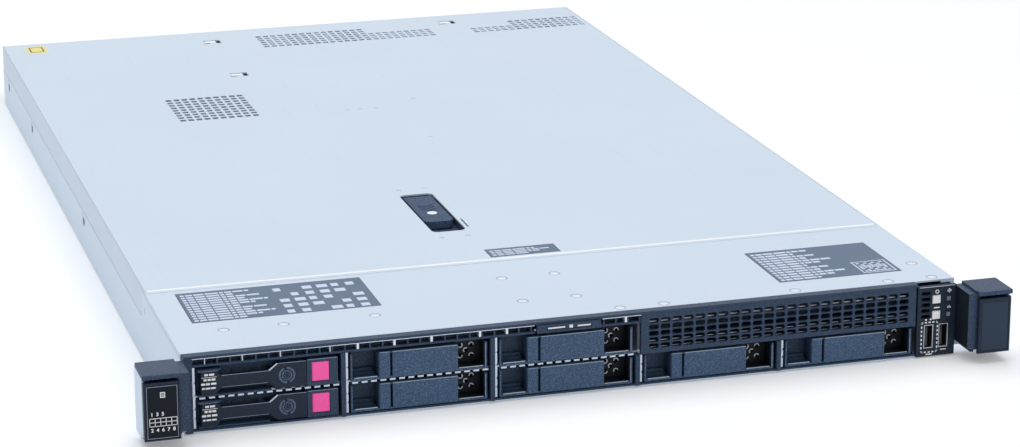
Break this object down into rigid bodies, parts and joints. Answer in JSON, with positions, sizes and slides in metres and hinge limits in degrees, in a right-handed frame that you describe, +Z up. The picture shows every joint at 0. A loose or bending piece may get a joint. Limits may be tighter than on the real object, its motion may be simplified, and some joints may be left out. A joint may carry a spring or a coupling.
{
  "type": "rack server",
  "caption": "Low rack server with drive bays and blanks across the front, latched sliding top cover, rack ears with pull-down levers, inner fans and rear power supplies.",
  "frame": {"origin": "on the chassis underside, in the middle of its width, in the plane where the ears' flanges meet the rack posts", "axes": "+X to the right seen from the front, +Y from the front to the rear, +Z up"},
  "size_m": [0.4826, 0.751, 0.0429],
  "materials": {
    "steel": "zinc-coated sheet, satin",
    "bright_steel": "plated, satin",
    "black_plastic": "fine moulded texture",
    "release_magenta": "moulded",
    "button_white": "moulded, translucent white",
    "circuit_board": "solder mask",
    "bare_aluminium": "bare",
    "supply_metal": "zinc-coated sheet"
  },
  "bodies": {
    "chassis": {"chassis_pan": "steel", "front_hood": "steel", "hood_rivets": "bright_steel", "rear_panel": "steel", "drive_cage": "steel", "front_bezel": "black_plastic", "media_bay_blank": "black_plastic", "drive_backplane": "circuit_board", "io_bezel": "black_plastic", "front_io_board": "circuit_board", "front_usb_sockets": "bright_steel", "ear_hinge_pins": "bright_steel", "rack_screws": "bright_steel", "system_board": "circuit_board", "board_screws": "bright_steel", "heat_sinks": "bare_aluminium", "memory_modules": "circuit_board", "air_baffle": "black_plastic", "riser_cage": "steel", "rear_ports": "bright_steel", "fan_frames": "black_plastic", "right_ear_bracket": "steel", "right_ear_housing": "black_plastic", "left_ear_bracket": "steel", "left_ear_housing": "black_plastic"},
    "cover": {"access_cover": "steel", "cover_latch_tray": "black_plastic", "cover_latch_pin": "bright_steel"},
    "latch_lever": {"cover_latch_lever": "black_plastic"},
    "latch_lock": {"cover_latch_lock": "button_white"},
    "info_tab": {"info_tab": "black_plastic"},
    "power_button": {"power_button": "button_white"},
    "locator_button": {"locator_button": "button_white"},
    "left_ear_lever": {"left_ear_lever": "black_plastic"},
    "right_ear_lever": {"right_ear_lever": "black_plastic"},
    "carrier_1": {"drive_carrier_1": "black_plastic", "disk_1": "bare_aluminium"},
    "carrier_lever_1": {"carrier_lever_1": "black_plastic"},
    "carrier_button_1": {"carrier_button_1": "release_magenta"},
    "carrier_2": {"drive_carrier_2": "black_plastic", "disk_2": "bare_aluminium"},
    "carrier_lever_2": {"carrier_lever_2": "black_plastic"},
    "carrier_button_2": {"carrier_button_2": "release_magenta"},
    "blank_3": {"drive_blank_3": "black_plastic"},
    "blank_4": {"drive_blank_4": "black_plastic"},
    "blank_5": {"drive_blank_5": "black_plastic"},
    "blank_6": {"drive_blank_6": "black_plastic"},
    "blank_7": {"drive_blank_7": "black_plastic"},
    "blank_8": {"drive_blank_8": "black_plastic"},
    "fan_1": {"fan_rotor_1": "black_plastic"},
    "fan_2": {"fan_rotor_2": "black_plastic"},
    "fan_3": {"fan_rotor_3": "black_plastic"},
    "fan_4": {"fan_rotor_4": "black_plastic"},
    "fan_5": {"fan_rotor_5": "black_plastic"},
    "fan_6": {"fan_rotor_6": "black_plastic"},
    "fan_7": {"fan_rotor_7": "black_plastic"},
    "supply_1": {"power_supply_1": "supply_metal"},
    "supply_latch_1": {"psu_latch_1": "release_magenta"},
    "supply_2": {"power_supply_2": "supply_metal"},
    "supply_latch_2": {"psu_latch_2": "release_magenta"}
  },
  "joints": [
    {"name": "cover_slide", "type": "slide", "parent": "chassis", "child": "cover", "axis": [0, 1, 0], "range_m": [0, 0.012]},
    {"name": "cover_latch_turn", "type": "hinge", "parent": "cover", "child": "latch_lever", "pos_m": [-0.02625, 0.2403, 0.0403], "axis": [-1, 0, 0], "range_deg": [0, 75]},
    {"name": "latch_lock_turn", "type": "hinge", "parent": "latch_lever", "child": "latch_lock", "pos_m": [-0.02625, 0.205, 0.0403], "axis": [0, 0, 1], "range_deg": [0, 90]},
    {"name": "info_tab_slide", "type": "slide", "parent": "chassis", "child": "info_tab", "axis": [0, -1, 0], "range_m": [0, 0.045]},
    {"name": "power_button_press", "type": "slide", "parent": "chassis", "child": "power_button", "axis": [0, 1, 0], "range_m": [0, 0.0008], "stiffness_N_per_m": 400},
    {"name": "locator_button_press", "type": "slide", "parent": "chassis", "child": "locator_button", "axis": [0, 1, 0], "range_m": [0, 0.0008], "stiffness_N_per_m": 400},
    {"name": "left_ear_lever_turn", "type": "hinge", "parent": "chassis", "child": "left_ear_lever", "pos_m": [-0.2314, -0.0194, 0.0088], "axis": [1, 0, 0], "range_deg": [0, 80], "stiffness_Nm_per_rad": 0.004, "springref_deg": -28.65},
    {"name": "right_ear_lever_turn", "type": "hinge", "parent": "chassis", "child": "right_ear_lever", "pos_m": [0.2314, -0.0194, 0.0088], "axis": [1, 0, 0], "range_deg": [0, 80], "stiffness_Nm_per_rad": 0.004, "springref_deg": -28.65},
    {"name": "carrier_1_slide", "type": "slide", "parent": "chassis", "child": "carrier_1", "axis": [0, -1, 0], "range_m": [0, 0.13]},
    {"name": "carrier_1_lever_turn", "type": "hinge", "parent": "carrier_1", "child": "carrier_lever_1", "pos_m": [-0.207, -0.0037, 0.0274], "axis": [0, 0, -1], "range_deg": [0, 45]},
    {"name": "carrier_1_button_press", "type": "slide", "parent": "carrier_1", "child": "carrier_button_1", "axis": [0, 1, 0], "range_m": [0, 0.0015], "stiffness_N_per_m": 400},
    {"name": "carrier_2_slide", "type": "slide", "parent": "chassis", "child": "carrier_2", "axis": [0, -1, 0], "range_m": [0, 0.13]},
    {"name": "carrier_2_lever_turn", "type": "hinge", "parent": "carrier_2", "child": "carrier_lever_2", "pos_m": [-0.207, -0.0037, 0.01], "axis": [0, 0, -1], "range_deg": [0, 45]},
    {"name": "carrier_2_button_press", "type": "slide", "parent": "carrier_2", "child": "carrier_button_2", "axis": [0, 1, 0], "range_m": [0, 0.0015], "stiffness_N_per_m": 400},
    {"name": "blank_3_slide", "type": "slide", "parent": "chassis", "child": "blank_3", "axis": [0, -1, 0], "range_m": [0, 0.075]},
    {"name": "blank_4_slide", "type": "slide", "parent": "chassis", "child": "blank_4", "axis": [0, -1, 0], "range_m": [0, 0.075]},
    {"name": "blank_5_slide", "type": "slide", "parent": "chassis", "child": "blank_5", "axis": [0, -1, 0], "range_m": [0, 0.075]},
    {"name": "blank_6_slide", "type": "slide", "parent": "chassis", "child": "blank_6", "axis": [0, -1, 0], "range_m": [0, 0.075]},
    {"name": "blank_7_slide", "type": "slide", "parent": "chassis", "child": "blank_7", "axis": [0, -1, 0], "range_m": [0, 0.075]},
    {"name": "blank_8_slide", "type": "slide", "parent": "chassis", "child": "blank_8", "axis": [0, -1, 0], "range_m": [0, 0.075]},
    {"name": "fan_1_spin", "type": "hinge", "parent": "chassis", "child": "fan_1", "pos_m": [-0.177, 0.292, 0.021], "axis": [0, 1, 0], "continuous": true},
    {"name": "fan_2_spin", "type": "hinge", "parent": "chassis", "child": "fan_2", "pos_m": [-0.118, 0.292, 0.021], "axis": [0, 1, 0], "continuous": true},
    {"name": "fan_3_spin", "type": "hinge", "parent": "chassis", "child": "fan_3", "pos_m": [-0.059, 0.292, 0.021], "axis": [0, 1, 0], "continuous": true},
    {"name": "fan_4_spin", "type": "hinge", "parent": "chassis", "child": "fan_4", "pos_m": [0, 0.292, 0.021], "axis": [0, 1, 0], "continuous": true},
    {"name": "fan_5_spin", "type": "hinge", "parent": "chassis", "child": "fan_5", "pos_m": [0.059, 0.292, 0.021], "axis": [0, 1, 0], "continuous": true},
    {"name": "fan_6_spin", "type": "hinge", "parent": "chassis", "child": "fan_6", "pos_m": [0.118, 0.292, 0.021], "axis": [0, 1, 0], "continuous": true},
    {"name": "fan_7_spin", "type": "hinge", "parent": "chassis", "child": "fan_7", "pos_m": [0.177, 0.292, 0.021], "axis": [0, 1, 0], "continuous": true},
    {"name": "supply_1_slide", "type": "slide", "parent": "chassis", "child": "supply_1", "axis": [0, 1, 0], "range_m": [0, 0.2]},
    {"name": "supply_1_latch_turn", "type": "hinge", "parent": "supply_1", "child": "supply_latch_1", "pos_m": [-0.1924, 0.689, 0.021], "axis": [0, 0, 1], "range_deg": [0, 10], "stiffness_Nm_per_rad": 0.05},
    {"name": "supply_2_slide", "type": "slide", "parent": "chassis", "child": "supply_2", "axis": [0, 1, 0], "range_m": [0, 0.2]},
    {"name": "supply_2_latch_turn", "type": "hinge", "parent": "supply_2", "child": "supply_latch_2", "pos_m": [-0.1204, 0.689, 0.021], "axis": [0, 0, 1], "range_deg": [0, 10], "stiffness_Nm_per_rad": 0.05}
  ],
  "couplings": [
    {"joint": "cover_latch_turn", "follows": "cover_slide", "rad_per_m": 109}
  ]
}
